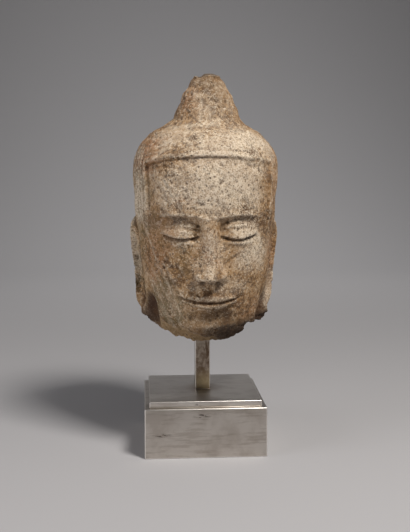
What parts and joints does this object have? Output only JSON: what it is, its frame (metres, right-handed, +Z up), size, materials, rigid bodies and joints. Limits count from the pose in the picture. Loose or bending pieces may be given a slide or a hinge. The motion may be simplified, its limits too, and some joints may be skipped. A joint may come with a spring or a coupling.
{
  "type": "stone buddha head",
  "caption": "Carved sandstone head with cone-shaped topknot, long ears and calm face, broken off at the neck, on a square steel rod with stepped steel base.",
  "frame": {"origin": "centre of the steel base's underside, on the surface that it stands on", "axes": "+Z up along the rod, -Y the way that the face looks, +X to the right of a person facing it"},
  "size_m": [0.1316, 0.1427, 0.3209],
  "materials": {
    "sandstone": "weathered, pitted, pale crust and brown stains",
    "brushed_steel": "brushed, edges bright",
    "stained_steel": "brushed, brown heat and rust stains"
  },
  "bodies": {
    "root": {"stone_head": "sandstone", "support_rod": "stained_steel", "base_plate": "brushed_steel", "base_block": "brushed_steel"}
  },
  "joints": []
}
